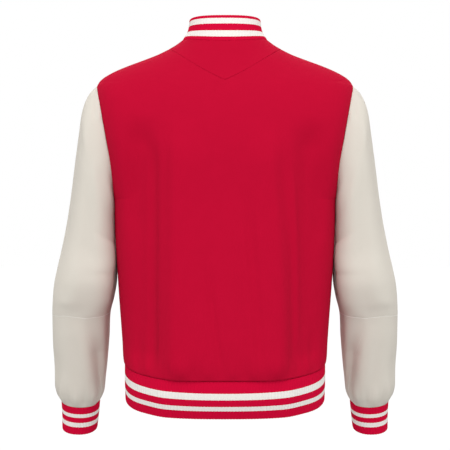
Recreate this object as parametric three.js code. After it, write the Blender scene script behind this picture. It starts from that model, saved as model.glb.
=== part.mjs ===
// A varsity jacket, filled out as if worn: wool body, plain sleeves, and striped rib-knit collar, cuffs and hem.
// Millimetres, +Z up. The front faces -Y and the wearer's left is +X. The origin is where the wearer's shoulders hold it.
import * as THREE from 'three';

// Driving sizes. Heights are taken up from the hem's lower edge.
const SHOULDER_HOLD = 640; // height of the origin
const CLOTH = 2; // body and sleeve cloth
const RIB_CLOTH = 2.4; // doubled rib knit under its ribs
const RIB_RAISE = 0.8; // how far a rib stands out
const RIB_PITCH = 5.5;
const COLLAR_GAP = 3; // from the centre front to each end of the collar
const COLLAR_CORNER = 10; // how far its upper corner is rounded off
const SEAM_GAP = 0.3;
const HEM_SEAM = 70; // height of the hem seam at the side
const ARMPIT = 374;
const SHOULDER_TIP = 585;
const YOKE_END = 650.5; // height at which the yoke seam meets the shoulder seam
const YOKE_POINT_UP = 578.3; // height of its point at the centre back
const YOKE_SAG = 5.5;
const NECK_SEAM = 668; // height of the neck seam at the shoulder
const ARMHOLE_BACK = 57; // how far the armhole reaches behind the shoulder seam
const ARMHOLE_FRONT = 54;
const OVERLAP = 14; // how far each front edge passes the centre line
const UNDERLAP_DROP = CLOTH + 0.7; // how deep the under front lies below the upper one

// Level sections of the body, from the hem seam to the neck seam. wide is half the width; back and front are the
// depths at the centre; side, backUp and frontUp are the section's heights; round is its superellipse power.
const BODY_SECTIONS = [
  { side: 70, wide: 184, back: 147, backUp: 66, front: 121, frontUp: 68, round: 2.15 },
  { side: 84, wide: 186, back: 151, backUp: 80.5, front: 125, frontUp: 82, round: 2.18 },
  { side: 110, wide: 188.2, back: 152.5, backUp: 107, front: 127.5, frontUp: 109, round: 2.2 },
  { side: 160, wide: 191.8, back: 151, backUp: 158, front: 127.5, frontUp: 159, round: 2.25 },
  { side: 220, wide: 196, back: 148.5, backUp: 219, front: 127, frontUp: 219, round: 2.3 },
  { side: 290, wide: 200.3, back: 145.5, backUp: 290, front: 128.5, frontUp: 288, round: 2.38 },
  { side: 340, wide: 202.4, back: 143, backUp: 340, front: 131, frontUp: 335, round: 2.45 },
  { side: 374, wide: 203.6, back: 141.5, backUp: 374, front: 133, frontUp: 366, round: 2.5 },
  { side: 410, wide: 206.8, back: 141, backUp: 410, front: 134, frontUp: 398, round: 2.5 },
  { side: 445, wide: 212.5, back: 140, backUp: 445, front: 132.5, frontUp: 428, round: 2.5 },
  { side: 480, wide: 220, back: 137, backUp: 479, front: 128.5, frontUp: 457, round: 2.5 },
  { side: 515, wide: 227, back: 131.5, backUp: 513, front: 121.5, frontUp: 484, round: 2.47 },
  { side: 545, wide: 232, back: 124, backUp: 541, front: 113, frontUp: 506, round: 2.4 },
  { side: 568, wide: 234.8, back: 116, backUp: 561.5, front: 104.5, frontUp: 522, round: 2.3 },
  { side: 585, wide: 234.4, back: 109, backUp: 575.5, front: 98, frontUp: 533, round: 2.2 },
  { side: 596, wide: 226, back: 103.5, backUp: 585, front: 93, frontUp: 540.5, round: 2.12 },
  { side: 608, wide: 206.5, back: 97.5, backUp: 595.5, front: 87.5, frontUp: 548.5, round: 2.05 },
  { side: 619, wide: 181.5, back: 92, backUp: 605.5, front: 83, frontUp: 556, round: 2.02 },
  { side: 630, wide: 152, back: 86.5, backUp: 616.5, front: 78.5, frontUp: 563.5, round: 2 },
  { side: 641, wide: 124, back: 80.5, backUp: 628, front: 74.5, frontUp: 571, round: 2 },
  { side: 655.6, wide: 96, back: 73.5, backUp: 642.5, front: 70, frontUp: 580, round: 2.04 },
  { side: 668, wide: 78.5, back: 66.5, backUp: 655, front: 67, frontUp: 588, round: 2.1 },
];

// The hem band tucks in towards its lower edge, and the collar stands up and leans in.
const HEM_SECTIONS = [
  { side: 0, wide: 182, back: 131, backUp: 0, front: 112, frontUp: 0, round: 2.12 },
  { side: 34, wide: 182.8, back: 143, backUp: 33, front: 119, frontUp: 33, round: 2.14 },
  { side: 69.7, wide: 183, back: 146.5, backUp: 65.7, front: 120.5, frontUp: 67.7, round: 2.15 },
];
const COLLAR_SECTIONS = [
  { side: 668.5, wide: 78, back: 66, backUp: 655.5, front: 67, frontUp: 588.5, round: 2.12 },
  { side: 684, wide: 68.5, back: 61.5, backUp: 678, front: 69.5, frontUp: 612, round: 2.4 },
  { side: 704, wide: 65, back: 56.5, backUp: 702.5, front: 71.5, frontUp: 637, round: 2.7 },
];

// Rings of the sleeve, by the distance down its outer line. outX and outUp place the ring's outer point, inX and
// inUp its inner point, deep is half its depth, mid its middle's y, and tilt the lean of its plane in degrees.
const SLEEVE_RINGS = [
  { along: 0, outX: 234.4, outUp: 585, inX: 204, inUp: 374, deep: 57, mid: 0, tilt: 0 },
  { along: 17, outX: 247, outUp: 572.5, inX: 206, inUp: 371.5, deep: 60, mid: 0, tilt: 0 },
  { along: 40, outX: 256.6, outUp: 552, inX: 207.5, inUp: 367, deep: 62, mid: 0, tilt: 0 },
  { along: 66, outX: 263.2, outUp: 527, inX: 207.5, inUp: 359, deep: 64.5, mid: 0, tilt: 0 },
  { along: 97, outX: 268, outUp: 497, inX: 207, inUp: 346, deep: 66.5, mid: 0, tilt: 0 },
  { along: 132, outX: 273, outUp: 462, inX: 206.3, inUp: 331, deep: 68, mid: 0, tilt: 0 },
  { along: 174, outX: 278.8, outUp: 420, inX: 205.8, inUp: 314, deep: 69, mid: 0, tilt: 0 },
  { along: 220, outX: 285, outUp: 375, inX: 205.2, inUp: 297, deep: 69, mid: 0, tilt: 0 },
  { along: 265, outX: 291.8, outUp: 330, inX: 204.5, inUp: 280, deep: 67.5, mid: 0, tilt: 0 },
  { along: 309, outX: 300.4, outUp: 287, inX: 203.5, inUp: 262, deep: 65, mid: 1, tilt: 0 },
  { along: 347, outX: 308.7, outUp: 250, inX: 202, inUp: 243, deep: 62, mid: 3, tilt: 1 },
  { along: 376, outX: 314, outUp: 222, inX: 201.5, inUp: 222, deep: 59, mid: 4, tilt: 3 },
  { along: 408, outX: 317.3, outUp: 190, inX: 205.5, inUp: 194, deep: 55.5, mid: 1, tilt: 5 },
  { along: 437, outX: 319.2, outUp: 161.5, inX: 213.5, inUp: 165, deep: 52.5, mid: -6, tilt: 6 },
  { along: 483, outX: 320.6, outUp: 115, inX: 216.7, inUp: 118, deep: 49, mid: -17, tilt: 10 },
  { along: 528, outX: 319.8, outUp: 70, inX: 221.9, inUp: 71, deep: 46.5, mid: -27, tilt: 12.5 },
  { along: 568, outX: 320.8, outUp: 30, inX: 227.7, inUp: 30, deep: 44, mid: -36, tilt: 13 },
  { along: 584, outX: 318.4, outUp: 14, inX: 231, inUp: 14, deep: 42.5, mid: -40, tilt: 13 },
  { along: 594, outX: 315.5, outUp: 4, inX: 235, inUp: 4, deep: 39.5, mid: -42, tilt: 13 },
  { along: 605, outX: 310.5, outUp: -6.5, inX: 238.8, inUp: -6.5, deep: 36, mid: -44.5, tilt: 13 },
];
const CUFF_RINGS = [
  { along: 0, outX: 310.2, outUp: -6.9, inX: 239.1, inUp: -6.9, deep: 35.6, mid: -44.6, tilt: 13 },
  { along: 27, outX: 310.2, outUp: -33, inX: 242, inUp: -33, deep: 34, mid: -50.6, tilt: 13 },
  { along: 54, outX: 311.2, outUp: -59.5, inX: 246, inUp: -59.5, deep: 32.6, mid: -56.8, tilt: 13 },
];
const ELBOW_SEAM = 437; // where the lower sleeve is sewn on
const WRIST_SEAM = 605;
const SLEEVE_ROUND = 2.15;
const CAP_BLEND = 66; // how far down the armhole's shape carries into the sleeve
const ELBOW_POINT = { rise: 7.5, angle: 106, spread: 40, drop: 5.7 }; // the elbow seam, with a point at the back

// Soft folds of the back and fronts. at is x at the low end and lean its shift to the high end, both in mm; raise is
// positive for a ridge; left and right are the half widths towards +X and -X; taper is how far the top end runs out.
const BACK_FOLDS = [
  { at: 126, lean: -14, raise: -6.5, left: 50, right: 20, low: 70, high: 518, taper: 45 },
  { at: 96, lean: -6, raise: 1.6, left: 18, right: 44, low: 74, high: 505, taper: 60 },
  { at: -136, lean: 24, raise: -6.5, left: 20, right: 48, low: 70, high: 518, taper: 45 },
  { at: -108, lean: 26, raise: -1.6, left: 18, right: 18, low: 74, high: 500, taper: 60 },
  { at: -66, lean: 32, raise: -3.8, left: 20, right: 18, low: 72, high: 400, taper: 90 },
  { at: 18, lean: 10, raise: -2.4, left: 17, right: 18, low: 70, high: 250, taper: 110 },
  { at: -30, lean: 6, raise: 1.8, left: 17, right: 17, low: 72, high: 230, taper: 100 },
];
const FRONT_FOLDS = [
  { at: 58, lean: 22, raise: -4.5, left: 22, right: 18, low: 72, high: 430, taper: 110 },
  { at: 88, lean: 26, raise: 2.6, left: 18, right: 18, low: 72, high: 450, taper: 110 },
  { at: 122, lean: 14, raise: -5.5, left: 30, right: 22, low: 72, high: 480, taper: 90 },
];

// Gathers where the body is eased onto the hem band, each at its x, with its depth and how high it runs.
const BACK_GATHERS = [
  { at: -160, raise: -2.2, high: 112 }, { at: -133, raise: 1.9, high: 122 }, { at: -111, raise: -2.2, high: 118 },
  { at: -84, raise: 2, high: 128 }, { at: -47, raise: 1.8, high: 116 }, { at: -12, raise: 2.1, high: 128 },
  { at: 24, raise: 1.8, high: 118 }, { at: 44, raise: -1.8, high: 110 }, { at: 84, raise: 1.9, high: 124 },
  { at: 104, raise: -2.1, high: 116 }, { at: 126, raise: 1.9, high: 112 }, { at: 160, raise: -1.9, high: 108 },
];
const FRONT_GATHERS = [
  { at: 44, raise: -1.9, high: 112 }, { at: 72, raise: 2, high: 124 }, { at: 104, raise: -2, high: 116 },
  { at: 140, raise: 1.9, high: 120 }, { at: 164, raise: -1.8, high: 108 },
];
const GATHER_HALF = 13;

// Folds of the sleeve: angle in degrees from the outer line round the back, turn its change on the way down.
const SLEEVE_FOLDS = [
  { from: 4, to: 70, angle: 48, turn: 6, raise: 3, spread: 22 },
  { from: 8, to: 80, angle: 78, turn: 4, raise: -2.5, spread: 20 },
  { from: 300, to: 428, angle: 152, turn: -4, raise: -5, spread: 24 },
  { from: 330, to: 430, angle: 205, turn: 10, raise: -5, spread: 26 },
  { from: 350, to: 440, angle: 250, turn: 0, raise: -3, spread: 30 },
  { from: 430, to: 600, angle: 112, turn: 34, raise: -4.5, spread: 18 },
  { from: 440, to: 600, angle: 84, turn: 30, raise: 2.5, spread: 20 },
  { from: 455, to: 600, angle: 268, turn: -16, raise: -3, spread: 20 },
];
const WRIST_GATHERS = { count: 5, raise: 1.8, from: 545, peak: 588 };

// Snaps down the centre front, by their heights, the lowest on the hem band.
const SNAP_HEIGHTS = [567, 474, 381, 288, 195, 102];
const HEM_SNAP_HEIGHT = 34;
const SNAP = { radius: 7.5, tall: 3.1, gap: 0.35, sides: 14 };

// Grid sizes
const BELOW_ARMPIT = [70, 77, 88, 104, 132, 180, 245, 315, 374];
const ARMHOLE_STEPS = 10;
const SHOULDER_ROWS = 6;
const BACK_COLUMNS = 36;
const FRONT_COLUMNS = 16;
const YOKE_ROWS = 4;
const SLEEVE_SIDES = 2 * ARMHOLE_STEPS;
const UPPER_RINGS = [0, 9, 22, 42, 70, 110, 160, 215, 265, 310, 345, 372, 400, 437];
const LOWER_RINGS = [437, 460, 490, 525, 560, 580, 593, 605];

const colours = { red: 0xc4102f, cream: 0xdcd6ca, snap: 0xe9e6df };

// Arithmetic helpers
const clamp01 = (x) => Math.min(1, Math.max(0, x));
const smooth = (x) => clamp01(x) ** 2 * (3 - 2 * clamp01(x));
const mix = (a, b, t) => a + (b - a) * t;
const bell = (x) => (Math.abs(x) < 1 ? (1 + Math.cos(Math.PI * x)) / 2 : 0);
const radians = THREE.MathUtils.degToRad;

// A smooth curve through one column of a table, against the column named key.
function column(table, key, name) {
  const x = table.map((row) => row[key]);
  const y = table.map((row) => row[name]);
  const last = x.length - 1;
  const slope = x.map((_, i) => {
    const a = Math.max(i - 1, 0);
    const b = Math.min(i + 1, last);
    return (y[b] - y[a]) / (x[b] - x[a]);
  });
  return (at) => {
    if (at <= x[0]) return y[0] + slope[0] * (at - x[0]);
    if (at >= x[last]) return y[last] + slope[last] * (at - x[last]);
    let i = 0;
    while (at > x[i + 1]) i++;
    const step = x[i + 1] - x[i];
    const t = (at - x[i]) / step;
    const rise = (2 * t ** 3 - 3 * t ** 2 + 1) * y[i] + (3 * t ** 2 - 2 * t ** 3) * y[i + 1];
    return rise + step * ((t ** 3 - 2 * t ** 2 + t) * slope[i] + (t ** 3 - t ** 2) * slope[i + 1]);
  };
}

function columnsOf(table, key) {
  const names = Object.keys(table[0]).filter((name) => name !== key);
  return Object.fromEntries(names.map((name) => [name, column(table, key, name)]));
}

// A surface made of level sections. angle runs from the centre back (0) by the wearer's left (a quarter turn) to the
// centre front (a half turn), and below 0 on the wearer's right.
function sectioned(table) {
  const at = columnsOf(table, 'side');
  return (angle, side) => {
    const behind = Math.cos(angle) > 0;
    const depth = behind ? at.back(side) : at.front(side);
    const end = behind ? at.backUp(side) : at.frontUp(side);
    const power = at.round(side);
    const [s, c] = [Math.abs(Math.sin(angle)), Math.abs(Math.cos(angle))];
    const r = ((s / at.wide(side)) ** power + (c / depth) ** power) ** (-1 / power);
    const share = ((r * c) / depth) ** (behind ? 2 : 1.4);
    return new THREE.Vector3(r * Math.sin(angle), r * Math.cos(angle), mix(side, end, share));
  };
}

// The outward normal of a surface, from its slopes along and across.
function normalOf(surface, across, along) {
  const [da, db] = [0.004, 0.5];
  const acrossSlope = surface(across + da, along).sub(surface(across - da, along));
  const alongSlope = surface(across, along + db).sub(surface(across, along - db));
  return alongSlope.cross(acrossSlope).normalize();
}

const bodySurface = sectioned(BODY_SECTIONS);
const bodyAt = columnsOf(BODY_SECTIONS, 'side');

// Where the armhole or side seam cuts the section at a height: an angle from the centre back.
function edgeAngle(side, behind) {
  const middle = (SHOULDER_TIP + ARMPIT) / 2;
  const reach = Math.sqrt(Math.max(0, 1 - ((side - middle) / (SHOULDER_TIP - middle)) ** 2));
  if (side <= ARMPIT || side >= SHOULDER_TIP || reach === 0) return Math.PI / 2;
  const depth = behind ? bodyAt.back(side) : bodyAt.front(side);
  const y = reach * (behind ? ARMHOLE_BACK : ARMHOLE_FRONT);
  const power = bodyAt.round(side);
  const x = bodyAt.wide(side) * (1 - (y / depth) ** power) ** (1 / power);
  return Math.atan2(x, behind ? y : -y);
}

// The sum of the folds and gathers at a place on the body, in mm outwards.
function foldsAt(folds, gathers, x, up) {
  let out = 0;
  for (const f of folds) {
    const share = clamp01((up - f.low) / (f.high - f.low));
    const fade = smooth((up - f.low) / 34) * smooth((f.high - up) / f.taper);
    const off = x - f.at - f.lean * share;
    out += f.raise * fade * bell(off / (off > 0 ? f.left : f.right));
  }
  for (const g of gathers) {
    out += g.raise * bell((x - g.at) / GATHER_HALF) * smooth((up - HEM_SEAM + 3) / 14) * smooth((g.high - up) / 34);
  }
  return out;
}

// A closed wall between an outer and an inner grid of points. The grids have the same number of rows, and their
// columns may differ. A closed wall is a tube: its last column meets its first.
function wallGeometry(outer, inner, closed) {
  const points = [];
  const indexRows = (grid) => grid.map((row) => {
    const ids = row.map((p) => points.push(p) - 1);
    return closed ? [...ids, ids[0]] : ids;
  });
  const [o, n] = [indexRows(outer), indexRows(inner)];
  const faces = [];
  const skin = (ids, flip) => {
    for (let r = 0; r + 1 < ids.length; r++) {
      for (let c = 0; c + 1 < ids[r].length; c++) {
        const [a, b, d, e] = [ids[r][c], ids[r][c + 1], ids[r + 1][c + 1], ids[r + 1][c]];
        faces.push(...(flip ? [a, d, b, a, e, d] : [a, b, d, a, d, e]));
      }
    }
  };
  const rim = (a, b) => {
    let [i, j] = [0, 0];
    while (i + 1 < a.length || j + 1 < b.length) {
      const alongA = (i + 1) / (a.length - 1);
      const alongB = (j + 1) / (b.length - 1);
      if (j + 1 >= b.length || (i + 1 < a.length && alongA <= alongB)) {
        faces.push(a[i + 1], a[i], b[j]);
        i++;
      } else {
        faces.push(b[j], b[j + 1], a[i]);
        j++;
      }
    }
  };
  skin(o, false);
  skin(n, true);
  rim(o[0], n[0]);
  rim(n.at(-1), o.at(-1));
  if (!closed) {
    rim(n.map((row) => row[0]), o.map((row) => row[0]));
    rim(o.map((row) => row.at(-1)), n.map((row) => row.at(-1)));
  }
  let volume = 0;
  for (let f = 0; f < faces.length; f += 3) {
    const [a, b, c] = [points[faces[f]], points[faces[f + 1]], points[faces[f + 2]]];
    volume += a.dot(b.clone().cross(c));
  }
  if (volume < 0) faces.reverse();
  const geometry = new THREE.BufferGeometry().setFromPoints(points);
  geometry.setIndex(faces);
  geometry.computeVertexNormals();
  return geometry;
}

// A wall of even thickness: place(row, column) gives its outer point and outward normal.
function clothWall(rows, columns, thickness, closed, place) {
  const outer = [];
  const inner = [];
  for (let r = 0; r < rows; r++) {
    const places = Array.from({ length: columns }, (_, c) => place(r, c));
    outer.push(places.map((p) => p.point));
    inner.push(places.map((p) => p.point.clone().addScaledVector(p.normal, -thickness)));
  }
  return wallGeometry(outer, inner, closed);
}

// Rib knit: every second outer point stands out, over a plain inside with fewer points.
function ribWall(rows, across, innerAcross, closed, place) {
  const outer = rows.map((row) => across.map((a, i) => {
    const { point, normal } = place(a, row);
    return point.addScaledVector(normal, i % 2 ? RIB_RAISE : 0);
  }));
  const inner = rows.map((row) => innerAcross.map((a) => {
    const { point, normal } = place(a, row);
    return point.addScaledVector(normal, -RIB_CLOTH);
  }));
  return wallGeometry(outer, inner, closed);
}

// Angles that divide a section of a surface into equal lengths.
function evenAngles(surface, side, from, to, count) {
  const samples = 720;
  const angleAt = (i) => mix(from, to, i / samples);
  const run = [0];
  for (let i = 1; i <= samples; i++) {
    run.push(run[i - 1] + surface(angleAt(i), side).distanceTo(surface(angleAt(i - 1), side)));
  }
  let i = 0;
  return Array.from({ length: count + 1 }, (_, k) => {
    const goal = (run[samples] * k) / count;
    while (i < samples - 1 && run[i + 1] < goal) i++;
    return angleAt(i + (goal - run[i]) / (run[i + 1] - run[i]));
  });
}

function sectionLength(surface, side, from, to) {
  const samples = 360;
  let length = 0;
  for (let i = 0; i < samples; i++) {
    const a = surface(mix(from, to, i / samples), side);
    length += a.distanceTo(surface(mix(from, to, (i + 1) / samples), side));
  }
  return length;
}

// The yoke seam: from a point at the centre back up to the shoulder seam on each side, sagging a little between.
function yokeSeam(angle) {
  const end = bodySurface(Math.PI / 2, YOKE_END);
  const above = (side) => {
    const p = bodySurface(angle, side);
    const share = Math.abs(p.x) / end.x;
    return p.z - mix(YOKE_POINT_UP, end.z, share) + 4 * YOKE_SAG * share * (1 - share);
  };
  let [low, high] = [SHOULDER_TIP - 30, NECK_SEAM];
  for (let i = 0; i < 40; i++) {
    const middle = (low + high) / 2;
    if (above(middle) > 0) high = middle;
    else low = middle;
  }
  return (low + high) / 2;
}

// Row heights at the panel's edge: side seam, then armhole at even turns round its oval, then shoulder seam.
const armholeHeights = Array.from({ length: ARMHOLE_STEPS }, (_, i) => {
  const turn = (Math.PI * (i + 1)) / ARMHOLE_STEPS;
  return (ARMPIT + SHOULDER_TIP) / 2 - ((SHOULDER_TIP - ARMPIT) / 2) * Math.cos(turn);
});
const shoulderHeights = (top, rows) => Array.from({ length: rows }, (_, i) => {
  const wide = mix(bodyAt.wide(SHOULDER_TIP), bodyAt.wide(top), ((i + 1) / rows) ** 1.25);
  let side = SHOULDER_TIP;
  while (side < top && bodyAt.wide(side) > wide) side += 0.05;
  return i + 1 === rows ? top : side;
});

// The folds fade out at the side seam, the armhole and the shoulder seam, which lie at the angle seam.
function bodyPlace(angle, side, seam, folds, gathers, drop = 0) {
  const point = bodySurface(angle, side);
  const normal = normalOf(bodySurface, angle, side);
  const out = foldsAt(folds, gathers, point.x, point.z) * smooth(Math.abs(seam - Math.abs(angle)) / 0.25);
  return { point: point.addScaledVector(normal, out - drop), normal };
}

// A panel's columns lie at even angles up to PLAIN_SHARE of the way to its edge, and are squeezed or spread past it.
const PLAIN_SHARE = 0.5;
function squeezed(u, seam) {
  const pull = smooth((Math.abs(u) - PLAIN_SHARE) / (1 - PLAIN_SHARE));
  return Math.sign(u) * (mix(0, Math.PI / 2, Math.abs(u)) + pull * (seam - Math.PI / 2));
}

function backPanel() {
  const heights = [...BELOW_ARMPIT, ...armholeHeights, ...shoulderHeights(YOKE_END, SHOULDER_ROWS)];
  return clothWall(heights.length, BACK_COLUMNS + 1, CLOTH, false, (r, c) => {
    const u = (2 * c) / BACK_COLUMNS - 1;
    const share = clamp01((heights[r] - ARMPIT) / (YOKE_END - ARMPIT));
    const side = heights[r] - share * (YOKE_END - yokeSeam((Math.abs(u) * Math.PI) / 2));
    const seam = edgeAngle(side, true);
    const trim = side <= ARMPIT || side >= SHOULDER_TIP ? SEAM_GAP / bodyAt.back(side) : 0;
    return bodyPlace(squeezed(u, seam - trim), side, seam, BACK_FOLDS, BACK_GATHERS);
  });
}

function yokePanel() {
  const columns = BACK_COLUMNS / 2;
  return clothWall(YOKE_ROWS + 1, columns + 1, CLOTH, false, (r, c) => {
    const angle = ((2 * c) / columns - 1) * (Math.PI / 2 - SEAM_GAP / bodyAt.back(NECK_SEAM));
    const low = yokeSeam(Math.abs(angle)) + 2 * SEAM_GAP;
    return bodyPlace(angle, mix(low, NECK_SEAM, r / YOKE_ROWS), Math.PI / 2, [], []);
  });
}

// The left front, or the right one, which is mirrored and dips under the left at the centre.
function frontPanel(mirror) {
  const heights = [...BELOW_ARMPIT, ...armholeHeights, ...shoulderHeights(NECK_SEAM, SHOULDER_ROWS + 2)];
  return clothWall(heights.length, FRONT_COLUMNS + 1, CLOTH, false, (r, c) => {
    const side = heights[r];
    const past = Math.PI + Math.atan(OVERLAP / bodyAt.front(side));
    const seam = edgeAngle(side, false);
    const u = c / FRONT_COLUMNS;
    const angle = mix(Math.PI / 2, past, u) + (seam - Math.PI / 2) * smooth((PLAIN_SHARE - u) / PLAIN_SHARE);
    const x = bodySurface(angle, side).x;
    const drop = mirror < 0 ? UNDERLAP_DROP * smooth((46 - x) / 28) : 0;
    const { point, normal } = bodyPlace(angle, side, seam, FRONT_FOLDS, FRONT_GATHERS, drop);
    const flip = new THREE.Vector3(mirror, 1, 1);
    return { point: point.multiply(flip), normal: normal.multiply(flip) };
  });
}

function hemBand() {
  const surface = sectioned(HEM_SECTIONS);
  const past = Math.PI + Math.atan(OVERLAP / HEM_SECTIONS[1].front);
  const ribs = Math.round(sectionLength(surface, HEM_SEAM / 2, -past, past) / RIB_PITCH);
  const across = evenAngles(surface, HEM_SEAM / 2, -past, past, 2 * ribs);
  const innerAcross = evenAngles(surface, HEM_SEAM / 2, -past, past, Math.round(ribs / 3));
  const rows = HEM_SECTIONS.map((row) => row.side);
  return ribWall(rows, across, innerAcross, false, (angle, side) => {
    const point = surface(angle, side);
    const normal = normalOf(surface, angle, side);
    const under = smooth((-angle - Math.PI + radians(20)) / radians(12));
    return { point: point.addScaledVector(normal, -under * (RIB_CLOTH + RIB_RAISE + 0.5)), normal };
  });
}

// The collar stops short of the centre front, and its upper corners are rounded off.
function collar() {
  const surface = sectioned(COLLAR_SECTIONS);
  const [low, high] = [COLLAR_SECTIONS[0].side, COLLAR_SECTIONS.at(-1).side];
  const middle = (low + high) / 2;
  const front = COLLAR_SECTIONS[1].front;
  const end = (side) => Math.PI - (COLLAR_GAP + COLLAR_CORNER * smooth((side - high + 14) / 14)) / front;
  const ribs = Math.round(sectionLength(surface, middle, -end(low), end(low)) / RIB_PITCH);
  const across = evenAngles(surface, middle, -end(low), end(low), 2 * ribs);
  const innerAcross = evenAngles(surface, middle, -end(low), end(low), Math.round(ribs / 2));
  return ribWall([low, middle, high - 7, high], across, innerAcross, false, (angle, side) => {
    const drawn = (angle * end(side)) / end(low);
    return { point: surface(drawn, side), normal: normalOf(surface, drawn, side) };
  });
}

// Sleeve and cuff surfaces. angle runs from the outer line (0) round the back to the underarm (a half turn).
function ringed(table) {
  const at = columnsOf(table, 'along');
  return (angle, along) => {
    const [c, s] = [Math.cos(angle), Math.sin(angle)];
    const k = (Math.abs(c) ** SLEEVE_ROUND + Math.abs(s) ** SLEEVE_ROUND) ** (-1 / SLEEVE_ROUND);
    const tilt = radians(at.tilt(along));
    const deep = at.deep(along) * s * k;
    return new THREE.Vector3(
      mix(at.inX(along), at.outX(along), (1 + c * k) / 2),
      at.mid(along) + deep * Math.cos(tilt),
      mix(at.inUp(along), at.outUp(along), (1 + c * k) / 2) - deep * Math.sin(tilt),
    );
  };
}

const sleeveTube = ringed(SLEEVE_RINGS);

// What has to be added to the sleeve's first ring to make it follow the armhole, just outside the body's edge.
function armholeShift(angle) {
  const behind = Math.sin(angle) >= 0;
  const middle = (SHOULDER_TIP + ARMPIT) / 2;
  const side = middle + (SHOULDER_TIP - middle) * Math.cos(angle);
  const edge = bodySurface(edgeAngle(side, behind), side);
  edge.x += 1.4 * SEAM_GAP;
  return edge.sub(sleeveTube(angle, 0));
}

function sleeveSurface(angle, along) {
  const point = sleeveTube(angle, along);
  const turned = THREE.MathUtils.euclideanModulo(angle, 2 * Math.PI);
  const off = (THREE.MathUtils.radToDeg(turned) - ELBOW_POINT.angle) / ELBOW_POINT.spread;
  const lift = ELBOW_POINT.rise * Math.max(0, Math.sin(angle)) - ELBOW_POINT.drop * Math.max(0, 1 - Math.abs(off));
  point.z += lift * bell((along - ELBOW_SEAM) / 36);
  return point.addScaledVector(armholeShift(angle), 1 - smooth(along / CAP_BLEND));
}

function sleeveFoldsAt(angle, along) {
  let out = 0;
  const degrees = THREE.MathUtils.euclideanModulo(THREE.MathUtils.radToDeg(angle), 360);
  for (const f of SLEEVE_FOLDS) {
    const share = clamp01((along - f.from) / (f.to - f.from));
    const fade = Math.sin(Math.PI * share) ** 0.7;
    const off = THREE.MathUtils.euclideanModulo(degrees - f.angle - f.turn * share + 180, 360) - 180;
    out += f.raise * fade * bell(off / f.spread);
  }
  const g = WRIST_GATHERS;
  const fade = smooth((along - g.from) / (g.peak - g.from)) * smooth((WRIST_SEAM - along) / (WRIST_SEAM - g.peak));
  return out + g.raise * fade * Math.cos(g.count * angle + 0.8 * Math.sin(2 * angle));
}

function sleevePlace(angle, along, mirror) {
  const point = sleeveSurface(angle, along);
  const normal = normalOf(sleeveSurface, angle, along);
  point.addScaledVector(normal, sleeveFoldsAt(angle, along));
  const flip = new THREE.Vector3(mirror, 1, 1);
  return { point: point.multiply(flip), normal: normal.multiply(flip) };
}

function sleevePart(rings, mirror, shift) {
  return clothWall(rings.length, SLEEVE_SIDES, CLOTH, true, (r, c) => {
    const along = rings[r] + (r === 0 ? shift : 0);
    return sleevePlace((2 * Math.PI * c) / SLEEVE_SIDES, along, mirror);
  });
}

function cuff(mirror) {
  const surface = ringed(CUFF_RINGS);
  const ribs = Math.round((2 * Math.PI * CUFF_RINGS[1].deep) / RIB_PITCH);
  const turns = (count) => Array.from({ length: count }, (_, i) => (2 * Math.PI * i) / count);
  const rows = CUFF_RINGS.map((row) => row.along);
  return ribWall(rows, turns(2 * ribs), turns(ribs / 2), true, (angle, along) => {
    const flip = new THREE.Vector3(mirror, 1, 1);
    return {
      point: surface(angle, along).multiply(flip),
      normal: normalOf(surface, angle, along).multiply(flip),
    };
  });
}

// A domed snap cap, turned about +Z, with its flat side at z 0.
function snapGeometry() {
  const { radius, tall, sides } = SNAP;
  const profile = [[0, 0], [radius - 0.6, 0], [radius, 0.9], [radius * 0.72, tall * 0.82], [0, tall]];
  const dome = new THREE.LatheGeometry(profile.map(([x, y]) => new THREE.Vector2(x, y)), sides);
  return dome.rotateX(Math.PI / 2);
}

function snap(name, surface, side) {
  const mesh = new THREE.Mesh(snapGeometry(), material(colours.snap, 0.35));
  const normal = normalOf(surface, Math.PI, side);
  mesh.name = name;
  mesh.position.copy(surface(Math.PI, side)).addScaledVector(normal, SNAP.gap);
  mesh.quaternion.setFromUnitVectors(new THREE.Vector3(0, 0, 1), normal);
  return mesh;
}

function material(color, roughness) {
  return new THREE.MeshStandardMaterial({ color, roughness, metalness: 0 });
}

function piece(name, geometry, color) {
  const mesh = new THREE.Mesh(geometry, material(color, 0.85));
  mesh.name = name;
  return mesh;
}

// The side height at which the centre front reaches a given height.
function sideAtFront(up) {
  let side = HEM_SEAM;
  while (bodyAt.frontUp(side) < up) side += 0.1;
  return side;
}

function jacket() {
  const group = new THREE.Group();
  group.add(piece('back', backPanel(), colours.red));
  group.add(piece('back_yoke', yokePanel(), colours.red));
  group.add(piece('front_left', frontPanel(1), colours.red));
  group.add(piece('front_right', frontPanel(-1), colours.red));
  group.add(piece('hem_band', hemBand(), colours.red));
  group.add(piece('collar', collar(), colours.red));
  for (const [side, mirror] of [['left', 1], ['right', -1]]) {
    group.add(piece(`upper_sleeve_${side}`, sleevePart(UPPER_RINGS, mirror, 0), colours.cream));
    group.add(piece(`lower_sleeve_${side}`, sleevePart(LOWER_RINGS, mirror, SEAM_GAP), colours.cream));
    group.add(piece(`cuff_${side}`, cuff(mirror), colours.red));
  }
  SNAP_HEIGHTS.forEach((up, i) => group.add(snap(`snap_${i + 1}`, bodySurface, sideAtFront(up))));
  const hemSurface = sectioned(HEM_SECTIONS);
  const lowSnap = snap('snap_hem', hemSurface, HEM_SNAP_HEIGHT);
  lowSnap.position.addScaledVector(normalOf(hemSurface, Math.PI, HEM_SNAP_HEIGHT), RIB_RAISE);
  group.add(lowSnap);
  group.position.z = -SHOULDER_HOLD;
  return group;
}

const model = new THREE.Group();
model.add(jacket());
export default model;
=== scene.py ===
"""A varsity jacket, filled out as if worn: wool body, plain sleeves, striped rib bands and snaps."""
import math

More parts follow.
